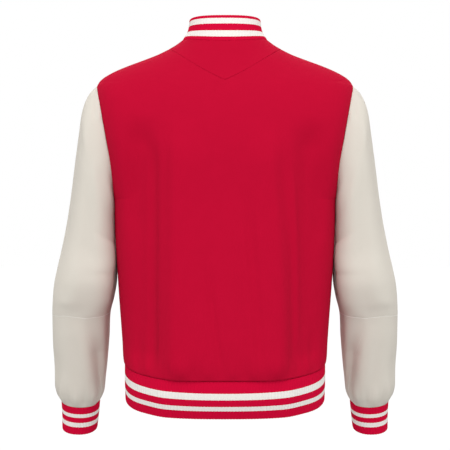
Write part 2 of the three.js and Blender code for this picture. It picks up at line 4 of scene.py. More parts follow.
import bmesh
import bpy
import numpy as np
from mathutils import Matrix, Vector


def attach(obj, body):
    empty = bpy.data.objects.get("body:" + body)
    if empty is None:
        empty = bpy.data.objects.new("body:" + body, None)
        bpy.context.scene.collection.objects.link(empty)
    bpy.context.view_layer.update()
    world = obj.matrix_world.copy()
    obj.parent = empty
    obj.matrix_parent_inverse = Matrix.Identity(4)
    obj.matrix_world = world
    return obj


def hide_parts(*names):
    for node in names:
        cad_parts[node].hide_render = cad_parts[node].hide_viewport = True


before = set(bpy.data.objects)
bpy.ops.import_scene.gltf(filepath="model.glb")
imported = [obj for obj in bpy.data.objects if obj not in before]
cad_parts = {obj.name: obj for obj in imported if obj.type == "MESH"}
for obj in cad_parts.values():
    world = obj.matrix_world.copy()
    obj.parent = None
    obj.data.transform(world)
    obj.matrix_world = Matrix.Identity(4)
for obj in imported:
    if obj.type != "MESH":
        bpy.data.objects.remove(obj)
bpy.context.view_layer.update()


def new_object(name, data):
    item = bpy.data.objects.new(name, data)
    bpy.context.collection.objects.link(item)
    return item


# Camera, behind the jacket and level, at about the height of its waist
camera_data = bpy.data.cameras.new("camera")
camera_data.sensor_width = 36
camera_data.lens = 64.8
camera = new_object("camera", camera_data)
camera.location = (0, 1.5, -0.312)
camera.rotation_euler = (math.radians(90), 0, math.radians(180))
bpy.context.scene.camera = camera

# Sizes in millimetres. Heights are taken up from the hem's lower edge, and the origin is HOLD above it.
HOLD = 640
CLOTH = 2.0
RIB_CLOTH = 2.4
RIB_RAISE = 0.55
RIB_PITCH = 5.5
SEAM_GAP = 0.08
HEM_SEAM = 70
ARMPIT = 374
SHOULDER_TIP = 585
YOKE_END = 650.5
YOKE_POINT_UP = 578.3
YOKE_SAG = 5.5
NECK_SEAM = 668
ARMHOLE_BACK = 57
ARMHOLE_FRONT = 54
OVERLAP = 14
UNDERLAP_DROP = 2.7
COLLAR_GAP = 3
COLLAR_CORNER = 10
COLLAR_CORNER_RUN = 14
ELBOW_SEAM = 437
WRIST_SEAM = 605
CAP_BLEND = 66
ELBOW_RISE = 7.5
ELBOW_KINK = 106
ELBOW_SPREAD = 40
ELBOW_DROP = 5.7
ELBOW_REACH = 36
ELBOW_WELT = 0.6
FOREARM_WELT = 0.45
ARMHOLE_MIDDLE = (SHOULDER_TIP + ARMPIT) / 2
ARMHOLE_HALF = SHOULDER_TIP - ARMHOLE_MIDDLE
ARMHOLE_SWELL = 16
ARMHOLE_SWELL_ANGLE = 0.5
ARMHOLE_SWELL_END = 240
SIDE_RISE = 14
SIDE_RISE_END = 230
BACK_BEND = 2
FRONT_BEND = 1.4
HEM_TOP = 69.7
HEM_DEPTH = 119
COLLAR_LOW = 667.85
COLLAR_HIGH = 704
COLLAR_DEPTH = 69.5
CUFF_LENGTH = 54
CUFF_RADIUS = 34
PLACKET_IN = 14

BACK_COLUMNS = 170
YOKE_COLUMNS = 90
FRONT_COLUMNS = 84
SLEEVE_COLUMNS = 112
YOKE_RUN = 80
UNDERLAP_END = 46
UNDERLAP_RUN = 28
HEM_STRIPE_DIP = 0.07

# How wide and how deep the cloth turns in where it is sewn
HEM_ROLL = (3.4, 2.6)
YOKE_ROLL = (1.6, 0.7)
SIDE_ROLL = (1.2, 0.5)
EDGE_ROLL = (2, 0.8)
KNIT_ROLL = (1.6, 0.9)

# How folds set in and end, in mm, and how far the plain cloth between them wanders
CREASE_RUN_IN = 48
GATHER_RUN_IN = 14
GATHER_RUN_OUT = 38
WRIST_GATHER_START = 548
WRIST_GATHER_RUN_IN = 42
WRIST_GATHER_RUN_OUT = 12
WANDER = 0.35
WANDER_RUN = 60
CALM_EDGE = 0.25


def ease(t):
    t = np.clip(t, 0, 1)
    return t * t * (3 - 2 * t)


def hump(t):
    return 0.5 + 0.5 * np.cos(np.pi * np.clip(t, -1, 1))


def mix(a, b, t):
    return a + (b - a) * t


def unit(vectors):
    return vectors / np.linalg.norm(vectors, axis=-1, keepdims=True)


def step_lengths(points, axis=0):
    """The distances between neighbouring points of a line or a grid."""
    return np.linalg.norm(np.diff(points, axis=axis), axis=-1)


def smooth_curve(places, values):
    """A smooth curve through one column of a table."""
    x = np.asarray(places, float)
    y = np.asarray(values, float)
    slope = np.empty_like(y)
    slope[1:-1] = (y[2:] - y[:-2]) / (x[2:] - x[:-2])
    slope[0] = (y[1] - y[0]) / (x[1] - x[0])
    slope[-1] = (y[-1] - y[-2]) / (x[-1] - x[-2])

    def at(place):
        place = np.asarray(place, float)
        i = np.clip(np.searchsorted(x, place, side="right") - 1, 0, len(x) - 2)
        step = x[i + 1] - x[i]
        t = np.clip((place - x[i]) / step, 0, 1)
        rise = (2 * t**3 - 3 * t**2 + 1) * y[i] + (3 * t**2 - 2 * t**3) * y[i + 1]
        lean = step * ((t**3 - 2 * t**2 + t) * slope[i] + (t**3 - t**2) * slope[i + 1])
        past = slope[0] * np.minimum(place - x[0], 0) + slope[-1] * np.maximum(place - x[-1], 0)
        return rise + lean + past

    return at


def sections(columns, *rows):
    """The columns of a table, each a smooth curve against the first column."""
    values = np.array(rows, float)
    return {name: smooth_curve(values[:, 0], values[:, i]) for i, name in enumerate(columns.split())}


def named_rows(columns, *rows):
    return [dict(zip(columns.split(), row)) for row in rows]


# Level sections: the section's height at the side, half its width, its depth and height at the centre back
# and at the centre front, and the power of its rounding.
LEVEL = "side wide back back_up front front_up round"
BODY = sections(
    LEVEL,
    (70, 185, 148.8, 66, 122.9, 68, 2.5),
    (84, 186.7, 151.2, 80.5, 126, 82, 2.42),
    (110, 188.2, 152.5, 107, 127.5, 109, 2.3),
    (160, 191.8, 151, 158, 127.5, 159, 2.25),
    (220, 196, 148.5, 219, 127, 219, 2.3),
    (290, 200.3, 145.5, 290, 128.5, 288, 2.38),
    (340, 202.4, 143, 340, 131, 335, 2.45),
    (374, 203.6, 141.5, 374, 133, 366, 2.5),
    (410, 206.8, 141, 410, 134, 398, 2.5),
    (445, 212.5, 140, 445, 132.5, 428, 2.5),
    (480, 220, 137, 479, 128.5, 457, 2.5),
    (515, 227, 131.5, 513, 121.5, 484, 2.47),
    (545, 232, 124, 541, 113, 506, 2.4),
    (568, 234.8, 116, 561.5, 104.5, 522, 2.3),
    (585, 234.4, 109, 575.5, 98, 533, 2.2),
    (596, 226, 103.5, 585, 93, 540.5, 2.12),
    (608, 206.5, 97.5, 595.5, 87.5, 548.5, 2.05),
    (619, 181.5, 92, 605.5, 83, 556, 2.02),
    (630, 152, 86.5, 616.5, 78.5, 563.5, 2),
    (641, 124, 80.5, 628, 74.5, 571, 2),
    (655.6, 96, 73.5, 642.5, 70, 580, 2.04),
    (668, 78.5, 66.5, 655, 67, 588, 2.1),
)
HEM = sections(
    LEVEL,
    (0, 182, 132, -0.5, 112, 0, 2.6),
    (34, 182.8, 143.5, 32.5, 119, 33, 2.58),
    (69.9, 183, 146.5, 65.9, 120.5, 67.9, 2.52),
)
COLLAR = sections(
    LEVEL,
    (668.1, 78, 66, 655.1, 67, 588.1, 2.12),
    (684, 68.5, 61.5, 678, 69.5, 612, 2.4),
    (704, 65, 56.5, 702.5, 71.5, 637, 2.7),
)

# Rings down the sleeve: distance down its outer line, the ring's outer and inner points, half its depth, the
# y of its middle, the lean of its plane in degrees, and the power of its rounding.
RING = "along out_x out_up in_x in_up deep mid tilt round"
SLEEVE = sections(
    RING,
    (0, 234.4, 585, 204, 374, 57, 0, 0, 2.4),
    (17, 247, 572.5, 206, 371.5, 60, 0, 0, 2.45),
    (40, 256.6, 552, 207.5, 367, 62, 0, 0, 2.5),
    (66, 263.2, 527, 207.5, 359, 64.5, 0, 0, 2.55),
    (97, 268, 497, 207, 346, 66.5, 0, 0, 2.6),
    (132, 273, 462, 206.3, 331, 68, 0, 0, 2.65),
    (174, 278.8, 420, 205.8, 314, 69, 0, 0, 2.7),
    (220, 285, 375, 205.2, 297, 69, 0, 0, 2.7),
    (265, 291.8, 330, 202.6, 280, 67.5, 0, 0, 2.65),
    (309, 300.4, 287, 200.4, 262, 65, 1, 0, 2.6),
    (347, 308.7, 250, 199.4, 243, 62, 3, 1, 2.55),
    (376, 314, 222, 200, 222, 59, 4, 3, 2.5),
    (408, 317.3, 190, 205.5, 194, 55.5, 1, 5, 2.45),
    (437, 319.2, 161.5, 213.5, 165, 52.5, -6, 6, 2.4),
    (483, 320.6, 115, 216.7, 118, 49, -17, 10, 2.35),
    (528, 319.8, 70, 221.9, 71, 46.5, -27, 12.5, 2.3),
    (568, 320.8, 30, 227.7, 30, 44, -36, 13, 2.25),
    (584, 318.4, 15, 231, 14, 42.5, -40, 13, 2.2),
    (594, 315.5, 6.5, 235, 4, 39.5, -42, 13, 2.15),
    (605, 310.5, -2.4, 238.8, -6.5, 36, -44.5, 13, 2.15),
)
CUFF = sections(
    RING,
    (0, 310.4, -2.5, 238.9, -6.6, 36, -44.5, 13, 2.15),
    (27, 310.2, -29.5, 242, -33, 34, -50.6, 13, 2.15),
    (54, 311.2, -58.5, 246, -61, 32.6, -56.8, 13, 2.15),
)

# Creases of the body: x at the low end, its shift to the high end and its bow between, how far the cloth
# rises or sinks, the half widths towards +X and -X, the sections of the low and high ends, and how far the
# high end runs out. BACK_FORM also shapes the hem band.
CREASE = "at lean bow rise left right low high taper"
BACK_FORM = named_rows(
    CREASE,
    (141, 8, 0, -4, 46, 46, -300, 524, 60),
    (-141, -7, 0, -4, 44, 46, -300, 520, 60),
)
BACK_CREASES = named_rows(
    CREASE,
    (84, -4, 0, 8, 27, 66, 50, 520, 90),
    (-86, 16, -8, 8, 66, 34, 50, 520, 90),
    (141, 8, 0, -6.5, 44, 44, 63, 524, 60),
    (126, -4, 0, -4.6, 18, 17, 70, 480, 60),
    (-118, 30, -8, -3.4, 23, 20, 70, 470, 60),
    (-141, -7, 0, -5.5, 40, 44, 63, 520, 60),
    (-126, 14, -4, 2.0, 9, 11, 100, 440, 80),
    (-62, 26, 0, -2.6, 14, 14, 70, 400, 110),
    (-44, 24, 0, 1.3, 14, 16, 70, 380, 110),
    (2, 26, 4, -2.4, 11, 12, 70, 262, 70),
    (38, 8, 0, 1.2, 14, 16, 70, 230, 90),
    (158, -4, 0, -2.4, 12, 12, 70, 160, 70),
    (-160, 4, 0, -2.6, 12, 12, 70, 170, 70),
    (163, 4, 0, -2.0, 16, 22, 300, 470, 60),
    (-166, -6, 0, -2.2, 22, 16, 280, 460, 60),
)
LEFT_FRONT_CREASES = named_rows(
    CREASE,
    (56, 24, 4, -4.6, 24, 14, 70, 440, 110),
    (88, 26, 0, 2.4, 18, 18, 72, 450, 110),
    (122, 14, -3, -5.6, 34, 16, 70, 484, 80),
    (150, 6, 0, -2.0, 14, 12, 70, 240, 90),
    (34, 4, 0, -1.4, 10, 9, 72, 210, 90),
)
RIGHT_FRONT_CREASES = named_rows(
    CREASE,
    (60, 20, -3, -4.4, 20, 16, 70, 425, 100),
    (91, 24, 2, 2.6, 18, 16, 72, 455, 110),
    (120, 17, 3, -5.4, 30, 18, 70, 478, 80),
    (148, 9, 0, -2.2, 12, 14, 70, 270, 100),
    (36, 2, 0, 1.4, 12, 9, 72, 190, 80),
)
# Gathers above the hem seam: x, the rise, the half width and the section of the high end
GATHER = "at rise half high"
BACK_GATHERS = named_rows(
    GATHER,
    (-164, -2.0, 9, 104), (-147, 1.5, 10, 118), (-127, -1.8, 8, 112), (-107, -1.4, 9, 108),
    (-86, 1.4, 11, 122), (-47, 1.5, 10, 116), (-33, -1.5, 7, 104), (-13, 1.4, 9, 118), (8, -1.3, 7, 106),
    (29, 1.3, 10, 118), (53, -1.7, 9, 112), (74, 1.5, 10, 120), (95, -1.4, 8, 110), (139, 1.6, 9, 118),
    (156, -1.8, 8, 108),
)
FRONT_GATHERS = named_rows(
    GATHER,
    (44, -1.8, 8, 112), (72, 1.7, 11, 124), (92, -1.3, 8, 108), (107, 1.2, 8, 112), (139, 1.8, 10, 120),
    (162, -1.7, 9, 106),
)

# Creases down the sleeve: from and to along it, the angle round it in degrees and its turn, the rise, and the
# half widths ahead and behind in degrees. Dents: their distance along it, how far they reach before and after
# that, their angle and half width in degrees, and the rise.
SLEEVE_CREASES = named_rows(
    "start end angle turn rise ahead behind",
    (6, 92, 56, 10, 1.2, 17, 17),
    (-60, 350, 144, 0, 10, 38, 64),
    (230, 500, 136, 0, 7.5, 34, 40),
    (40, 430, 40, 0, -5.5, 46, 40),
    (240, 412, 160, 0, -7.0, 12, 13),
    (330, 432, 205, 8, -4.5, 24, 24),
    (350, 440, 250, 0, -2.8, 26, 28),
    (432, 612, 117, 47, -6.6, 22, 24),
    (450, 604, 92, 34, 2.0, 18, 22),
    (500, 604, 44, -8, -1.2, 12, 12),
    (455, 604, 268, -16, -2.8, 20, 20),
    (470, 604, 318, 10, -2.0, 20, 20),
)
SLEEVE_DENTS = named_rows(
    "along before after angle width rise",
    (50, 50, 90, 138, 26, 5.0),
    (7, 6, 7, 66, 9, 2.4),
    (15, 6, 9, 57, 10, -2.4),
    (364, 80, 60, 98, 58, 4.0),
    (236, 9, 9, 150, 26, -1.1),
    (404, 16, 16, 60, 34, 0.8),
    (560, 30, 30, 60, 26, 1.0),
    (520, 46, 46, 40, 30, -0.9),
)
WRIST_GATHERS = named_rows(
    "angle width rise",
    (8, 11, 1.5), (27, 9, -1.3), (47, 12, 1.7), (68, 9, -1.4), (88, 10, 1.6), (108, 9, -1.5), (131, 12, 1.6),
    (155, 10, -1.5), (180, 12, 1.6), (206, 10, -1.4), (232, 12, 1.7), (259, 10, -1.5), (285, 12, 1.6),
    (311, 10, -1.4), (337, 11, 1.5), (355, 8, -1.1),
)


# Surfaces. A body angle is 0 at the centre back, a quarter turn at the wearer's left and a half in front.
def level_surface(table):
    def place(angle, side):
        angle, side = np.broadcast_arrays(np.asarray(angle, float), np.asarray(side, float))
        behind = np.cos(angle) > 0
        depth = np.where(behind, table["back"](side), table["front"](side))
        end = np.where(behind, table["back_up"](side), table["front_up"](side))
        power = table["round"](side)
        across = np.abs(np.sin(angle)) / table["wide"](side)
        through = np.abs(np.cos(angle)) / depth
        reach = (across**power + through**power) ** (-1 / power)
        share = (reach * through) ** np.where(behind, BACK_BEND, FRONT_BEND)
        rise = SIDE_RISE * (1 - share) ** 3 * (1 - ease(side / SIDE_RISE_END))
        up = mix(side, end, share) + rise
        return np.stack([reach * np.sin(angle), reach * np.cos(angle), up], axis=-1)

    return place


def ring_surface(table):
    """A sleeve's angle runs from its outer line (0) round the back to the underarm (a half turn)."""
    def place(angle, along):
        angle, along = np.broadcast_arrays(np.asarray(angle, float), np.asarray(along, float))
        c = np.cos(angle)
        s = np.sin(angle)
        power = table["round"](along)
        k = (np.abs(c) ** power + np.abs(s) ** power) ** (-1 / power)
        tilt = np.radians(table["tilt"](along))
        deep = table["deep"](along) * s * k
        outward = (1 + c * k) / 2
        x = mix(table["in_x"](along), table["out_x"](along), outward)
        y = table["mid"](along) + deep * np.cos(tilt)
        z = mix(table["in_up"](along), table["out_up"](along), outward) - deep * np.sin(tilt)
        return np.stack([x, y, z], axis=-1)

    return place


def outward_normals(surface, angle, along, turn=0.004, step=0.5):
    across = surface(angle + turn, along) - surface(angle - turn, along)
    down = surface(angle, along + step) - surface(angle, along - step)
    return unit(np.cross(down, across))


def placed(surface, angle, along):
    """A surface's points and their outward normals."""
    return surface(angle, along), outward_normals(surface, angle, along)


body_surface = level_surface(BODY)
hem_surface = level_surface(HEM)
collar_surface = level_surface(COLLAR)
sleeve_tube = ring_surface(SLEEVE)
cuff_surface = ring_surface(CUFF)


def armhole_reach(side):
    """How far the armhole has opened at a section: 0 at its two ends and 1 at its middle."""
    return np.sqrt(np.maximum(0, 1 - ((side - ARMHOLE_MIDDLE) / ARMHOLE_HALF) ** 2))


def armhole_angle(side, behind):
    """Where the armhole or the side seam cuts a section, as an angle from the centre back."""
    side = np.asarray(side, float)
    depth = BODY["back"](side) if behind else BODY["front"](side)
    y = armhole_reach(side) * (ARMHOLE_BACK if behind else ARMHOLE_FRONT)
    power = BODY["round"](side)
    x = BODY["wide"](side) * (1 - (y / depth) ** power) ** (1 / power)
    return np.arctan2(x, y if behind else -y)


def side_edge(side, behind):
    """Whether a panel's side edge is free of the armhole at a section, and the angle of that edge."""
    free = (side <= ARMPIT) | (side >= SHOULDER_TIP)
    return free, np.where(free, np.pi / 2, armhole_angle(side, behind))


def yoke_seam(angle, halvings=40):
    """The section on which the yoke seam lies at an angle, found by halving the range that holds it."""
    end = body_surface(np.pi / 2, YOKE_END)
    low = np.full(np.shape(angle), SHOULDER_TIP - 30.0)
    high = np.full(np.shape(angle), float(NECK_SEAM))
    for _ in range(halvings):
        middle = (low + high) / 2
        p = body_surface(angle, middle)
        share = np.abs(p[..., 0]) / end[0]
        line = mix(YOKE_POINT_UP, end[2], share) - 4 * YOKE_SAG * share * (1 - share)
        above = p[..., 2] > line
        high = np.where(above, middle, high)
        low = np.where(above, low, middle)
    return (low + high) / 2


def sleeve_surface(angle, along):
    point = sleeve_tube(angle, along)
    degrees = np.degrees(angle) % 360
    kink = np.maximum(0, 1 - np.abs(degrees - ELBOW_KINK) / ELBOW_SPREAD)
    lift = ELBOW_RISE * np.maximum(0, np.sin(angle)) - ELBOW_DROP * kink
    point[..., 2] += lift * hump((along - ELBOW_SEAM) / ELBOW_REACH)
    side = ARMHOLE_MIDDLE + ARMHOLE_HALF * np.cos(angle)
    behind = np.sin(angle) >= 0
    seam = np.where(behind, armhole_angle(side, True), armhole_angle(side, False))
    edge = body_surface(seam, side)
    edge[..., 0] += 1.4 * SEAM_GAP
    carry = 1 - ease(along / CAP_BLEND)
    swell_left = 1 - ease(along / ARMHOLE_SWELL_END)
    point[..., 1] += ARMHOLE_SWELL * np.maximum(0, np.sin(angle)) * swell_left
    return point + (edge - sleeve_tube(angle, np.zeros_like(along))) * carry[..., None]


# Folds
def creases_at(creases, gathers, x, side):
    """How far the body's cloth stands out at a section and at x."""
    out = np.zeros(np.shape(x))
    for c in creases:
        share = np.clip((side - c["low"]) / (c["high"] - c["low"]), 0, 1)
        middle = c["at"] + c["lean"] * share + 4 * c["bow"] * share * (1 - share)
        off = x - middle
        fade = ease((side - c["low"]) / CREASE_RUN_IN) * ease((c["high"] - side) / c["taper"])
        out = out + c["rise"] * fade * hump(off / np.where(off > 0, c["left"], c["right"]))
    for g in gathers:
        fade = ease((side - HEM_SEAM) / GATHER_RUN_IN) * ease((g["high"] - side) / GATHER_RUN_OUT)
        out = out + g["rise"] * fade * hump((x - g["at"]) / g["half"])
    wander = np.sin(x / 23 + 1.7 * np.sin(side / 71)) * np.sin(side / 57 + 1.1 * np.sin(x / 83))
    return out + WANDER * wander * ease((side - HEM_SEAM - 10) / WANDER_RUN)


def sleeve_folds_at(angle, along):
    """How far the sleeve's cloth stands out at an angle round it and a distance along it."""
    out = np.zeros(np.broadcast(angle, along).shape)
    degrees = np.degrees(angle) % 360
    for c in SLEEVE_CREASES:
        share = np.clip((along - c["start"]) / (c["end"] - c["start"]), 0, 1)
        off = (degrees - c["angle"] - c["turn"] * share + 180) % 360 - 180
        fade = np.sin(np.pi * share) ** 0.7
        out = out + c["rise"] * fade * hump(off / np.where(off > 0, c["ahead"], c["behind"]))
    for d in SLEEVE_DENTS:
        off = (degrees - d["angle"] + 180) % 360 - 180
        past = along - d["along"]
        length = np.where(past > 0, d["after"], d["before"])
        out = out + d["rise"] * hump(past / length) * hump(off / d["width"])
    fade = ease((along - WRIST_GATHER_START) / WRIST_GATHER_RUN_IN)
    fade = fade * ease((WRIST_SEAM - along) / WRIST_GATHER_RUN_OUT)
    for g in WRIST_GATHERS:
        off = (degrees - g["angle"] + 180) % 360 - 180
        out = out + g["rise"] * fade * hump(off / g["width"])
    turn = np.radians(degrees)
    wander = np.sin(2 * turn + along / 45) * np.sin(along / 33 + np.cos(turn))
    wander = WANDER * wander * ease((along - 20) / WANDER_RUN)
    return out + wander * ease((WRIST_SEAM - 10 - along) / WANDER_RUN)


# Making a cloth wall
def in_frame(points):
    """Millimetres above the hem, as metres from the origin."""
    return (points - np.array([0, 0, HOLD])) / 1000


def mirrored(points, mirror):
    """A piece is made as the wearer's left one, and mirror -1 turns it over for the right."""
    return points * np.array([mirror, 1, 1])


def edge_distance(points, sides):
    """How far each point of a grid lies from the named edges: low and high rows, first and last columns."""
    gap = np.full(points.shape[:2], 1e6)
    run = np.vstack([np.zeros(points.shape[1]), np.cumsum(step_lengths(points), axis=0)])
    walk = np.hstack([np.zeros((points.shape[0], 1)), np.cumsum(step_lengths(points, 1), axis=1)])
    if "low" in sides:
        gap = np.minimum(gap, run)
    if "high" in sides:
        gap = np.minimum(gap, run[-1] - run)
    if "first" in sides:
        gap = np.minimum(gap, walk)
    if "last" in sides:
        gap = np.minimum(gap, walk[:, -1:] - walk)
    return gap


def roll(points, sides, width, depth):
    """How far the cloth turns in near the named edges, where it is sewn to the next piece."""
    t = 1 - np.clip(edge_distance(points, sides) / width, 0, 1)
    return depth * (1 - np.sqrt(1 - 0.98 * t**2))


def wall(points, normals, turned, thickness):
    """The outer and inner face of a piece whose edges turn in."""
    outer = points - normals * turned[..., None]
    inner = points - normals * np.maximum(thickness, turned + 0.4)[..., None]
    return outer, inner


def cloth_mesh(name, outer, inner, closed, cloth_uv, knit_uv=None, mirror=1):
    """A closed wall between an outer and an inner grid of points, in mm. A closed grid is a tube."""
    outer = mirrored(outer, mirror)
    inner = mirrored(inner, mirror)
    rows, columns = outer.shape[:2]
    wraps = columns if closed else columns - 1
    r, c = np.meshgrid(np.arange(rows - 1), np.arange(wraps), indexing="ij")
    r = r.ravel()
    c = c.ravel()
    corners = [(r, c), (r, c + 1), (r + 1, c + 1), (r + 1, c)]
    size = rows * columns

    def ids(row, column, layer):
        return layer * size + row * columns + column % columns

    faces = [np.stack([ids(a, b, 0) for a, b in corners], axis=1)]
    places = [np.stack([np.stack(k, axis=1) for k in corners], axis=1)]
    back = corners[::-1]
    faces.append(np.stack([ids(a, b, 1) for a, b in back], axis=1))
    places.append(np.stack([np.stack(k, axis=1) for k in back], axis=1))

    def rim(a, b, flip):
        steps = [(a, 0), (a, 1), (b, 1), (b, 0)]
        order = steps[::-1] if flip else steps
        faces.append(np.stack([ids(k[0], k[1], layer) for k, layer in order], axis=1))
        places.append(np.stack([np.stack(k, axis=1) for k, layer in order], axis=1))

    line = np.arange(wraps)
    low = np.zeros_like(line)
    rim((low, line), (low, line + 1), False)
    rim((low + rows - 1, line), (low + rows - 1, line + 1), True)
    if not closed:
        line = np.arange(rows - 1)
        low = np.zeros_like(line)
        rim((line, low), (line + 1, low), True)
        rim((line, low + columns - 1), (line + 1, low + columns - 1), False)
    faces = np.concatenate(faces)
    places = np.concatenate(places)
    points = np.concatenate([outer.reshape(-1, 3), inner.reshape(-1, 3)])
    first = outer[0, 1] - outer[0, 0]
    up = outer[1, 0] - outer[0, 0]
    if np.dot(np.cross(first, up), outer[0, 0] - inner[0, 0]) < 0:
        faces = faces[:, ::-1]
        places = places[:, ::-1]
    mesh = bpy.data.meshes.new(name)
    mesh.from_pydata(in_frame(points).tolist(), [], faces.tolist())
    for label, uv in (("cloth", cloth_uv), ("knit", knit_uv)):
        if uv is not None:
            layer = mesh.uv_layers.new(name=label)
            layer.data.foreach_set("uv", uv[places[..., 0], places[..., 1]].astype(np.float32).ravel())
    mesh.polygons.foreach_set("use_smooth", np.ones(len(mesh.polygons), bool))
    mesh.set_sharp_from_angle(angle=math.radians(52))
    mesh.validate()
    return new_object(name, mesh)


def metres_uv(points, closed):
    """A map in metres: across from the middle column, and up the piece."""
    grid = np.concatenate([points, points[:, :1]], axis=1) if closed else points
    walk = np.hstack([np.zeros((grid.shape[0], 1)), np.cumsum(step_lengths(grid, 1), axis=1)])
    walk = walk - walk[:, walk.shape[1] // 2][:, None]
    rise = np.concatenate([[0], np.cumsum(step_lengths(grid).mean(axis=1))])
    return np.stack([walk, np.broadcast_to(rise[:, None], walk.shape)], axis=-1) / 1000


def plain_cloth(name, point, normal, turned, closed=False, mirror=1):
    outer, inner = wall(point, normal, turned, CLOTH)
    return cloth_mesh(name, outer, inner, closed, metres_uv(point, closed), mirror=mirror)


def even_angles(surface, side, start, end, count):
    """Angles that divide a section into equal lengths."""
    angle = np.linspace(start, end, 1441)
    line = surface(angle, np.full(angle.shape, float(side)))
    run = np.concatenate([[0], np.cumsum(step_lengths(line))])
    return np.interp(np.linspace(0, run[-1], count + 1), run, angle)


def section_length(surface, side, start, end):
    angle = np.linspace(start, end, 721)
    return step_lengths(surface(angle, np.full(angle.shape, float(side)))).sum()


def fine_at_ends(start, end, step, near=(0, 0.25, 0.6, 1.1, 1.8, 2.8, 4)):
    """Places from start to end, step apart, with closer ones at both ends."""
    near = np.array(near)
    plain = np.linspace(start + 2 * near[-1], end - 2 * near[-1], max(2, round((end - start) / step)))
    return np.concatenate([start + near, plain, end - near[::-1]])


def body_heights(top):
    """The sections of a panel's rows, with closer ones at its seams and at the armhole's ends."""
    turn = np.linspace(0, np.pi, 56)[1:]
    armhole = ARMHOLE_MIDDLE - ARMHOLE_HALF * np.cos(turn)
    low = fine_at_ends(HEM_SEAM, ARMPIT + 2, 4.2)
    low = low[low < ARMPIT - 0.5]
    high = fine_at_ends(SHOULDER_TIP - 6, top, 2.6)
    high = high[high > SHOULDER_TIP + 0.5]
    return np.concatenate([low, [ARMPIT], armhole, high])


def panel_columns(count, breadth=600):
    """Shares of a panel's breadth, with closer ones at both edges."""
    return fine_at_ends(0, breadth, breadth / count, near=(0, 0.5, 1.1, 1.9, 3)) / breadth


# Body
def back_panel():
    heights = body_heights(YOKE_END)[:, None]
    u = 2 * panel_columns(BACK_COLUMNS)[None, :] - 1
    share = np.clip((heights - ARMPIT) / (YOKE_END - ARMPIT), 0, 1)
    side = heights - share * (YOKE_END - yoke_seam(np.abs(u) * np.pi / 2))
    free, seam = side_edge(side, True)
    trim = np.where(free, SEAM_GAP / BODY["back"](side), 0)
    pull = ease((np.abs(u) - 0.5) / 0.5)
    angle = np.sign(u) * (np.abs(u) * np.pi / 2 + pull * (seam - trim - np.pi / 2))
    point, normal = placed(body_surface, angle, side)
    calm = ease((seam - np.abs(angle)) / CALM_EDGE)
    out = creases_at(BACK_FORM + BACK_CREASES, BACK_GATHERS, point[..., 0], side) * calm
    point = point + normal * out[..., None]
    swell_left = 1 - ease((seam - np.abs(angle)) / ARMHOLE_SWELL_ANGLE)
    point[..., 1] += ARMHOLE_SWELL * armhole_reach(side) * swell_left
    turned = roll(point, ("low",), *HEM_ROLL) + roll(point, ("high",), *YOKE_ROLL)
    turned = turned + roll(point, ("first", "last"), *SIDE_ROLL)
    return plain_cloth("cloth_back", point, normal, turned)


def yoke_panel():
    u = 2 * panel_columns(YOKE_COLUMNS)[None, :] - 1
    angle = u * (np.pi / 2 - SEAM_GAP / BODY["back"](NECK_SEAM))
    low = yoke_seam(np.abs(angle)) + 2 * SEAM_GAP
    share = (fine_at_ends(0, YOKE_RUN, 2.8) / YOKE_RUN)[:, None]
    side = mix(low, NECK_SEAM, share)
    angle = np.broadcast_to(angle, side.shape)
    point, normal = placed(body_surface, angle, side)
    turned = roll(point, ("low", "high"), *YOKE_ROLL) + roll(point, ("first", "last"), *SIDE_ROLL)
    return plain_cloth("cloth_yoke", point, normal, turned)


def front_panel(name, mirror, creases):
    """One front. The right one dips under the left at the centre."""
    side = body_heights(NECK_SEAM)[:, None]
    u = panel_columns(FRONT_COLUMNS)[None, :]
    seam = side_edge(side, False)[1]
    past = np.pi + np.arctan(OVERLAP / BODY["front"](side))
    angle = mix(np.pi / 2, past, u) + (seam - np.pi / 2) * ease((0.5 - u) / 0.5)
    side = np.broadcast_to(side, angle.shape)
    point, normal = placed(body_surface, angle, side)
    drop = UNDERLAP_DROP * ease((UNDERLAP_END - point[..., 0]) / UNDERLAP_RUN) if mirror < 0 else 0
    out = creases_at(creases, FRONT_GATHERS, point[..., 0], side) * ease((angle - seam) / CALM_EDGE)
    point = point + normal * (out - drop)[..., None]
    turned = roll(point, ("low",), *HEM_ROLL) + roll(point, ("high", "last"), *EDGE_ROLL)
    turned = turned + roll(point, ("first",), *SIDE_ROLL)
    return plain_cloth(name, point, normal, turned, mirror=mirror)


# Rib knit
def rib_height(ribs):
    return RIB_RAISE * (0.5 - 0.5 * np.cos(2 * np.pi * ribs)) ** 0.8


def knit_band(name, surface, angle, along, ribs, stripe, mirror=1, sink=0, closed=False):
    """A band of rib knit. ribs counts round it, and stripe goes from its sewn edge (0) to its free one."""
    point, normal = placed(surface, angle, along)
    point = point - normal * np.asarray(sink)[..., None]
    edges = ("low", "high") if closed else ("low", "high", "first", "last")
    turned = roll(point, edges, *KNIT_ROLL)
    outer, inner = wall(point, normal, turned - rib_height(ribs), RIB_CLOTH)
    knit = np.stack(np.broadcast_arrays(ribs, stripe), axis=-1)
    if closed:
        turn = knit[:, :1] + np.array([round(float(ribs.max()) + 0.5), 0])
        knit = np.concatenate([knit, turn], axis=1)
    return cloth_mesh(name, outer, inner, closed, metres_uv(point, closed), knit, mirror)


